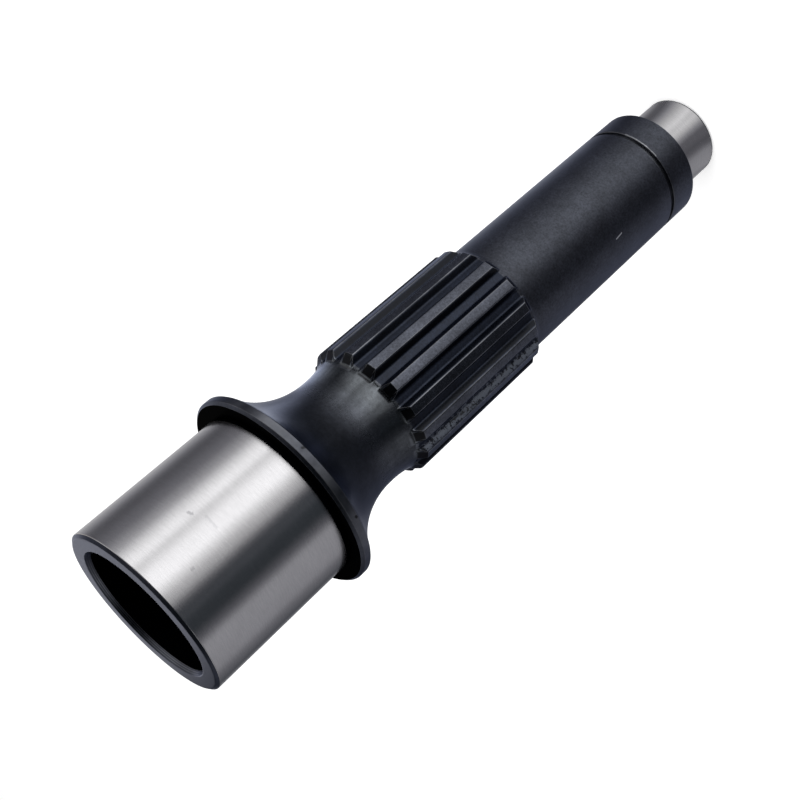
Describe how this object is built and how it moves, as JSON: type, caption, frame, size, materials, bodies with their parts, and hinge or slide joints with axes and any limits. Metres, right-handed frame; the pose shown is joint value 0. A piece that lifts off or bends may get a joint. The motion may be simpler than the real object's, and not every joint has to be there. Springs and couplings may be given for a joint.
{
  "type": "gear pump drive shaft",
  "caption": "One-piece pump drive shaft with an open bored mouth, a ground bearing seat and flange, a waisted neck, an external involute spline, a long seat and a small ground end journal.",
  "frame": {"origin": "centre of the small end's flat face, at the bottom of the standing shaft", "axes": "+Z along the shaft's axis, from the small ground journal up to the open mouth; +X and +Y each point through the middle of a spline tooth"},
  "size_m": [0.0594, 0.0592, 0.229],
  "materials": {
    "shaft_steel": "black oxide steel with two bright ground journals"
  },
  "bodies": {
    "root": {"pump_shaft": "shaft_steel"}
  },
  "joints": []
}
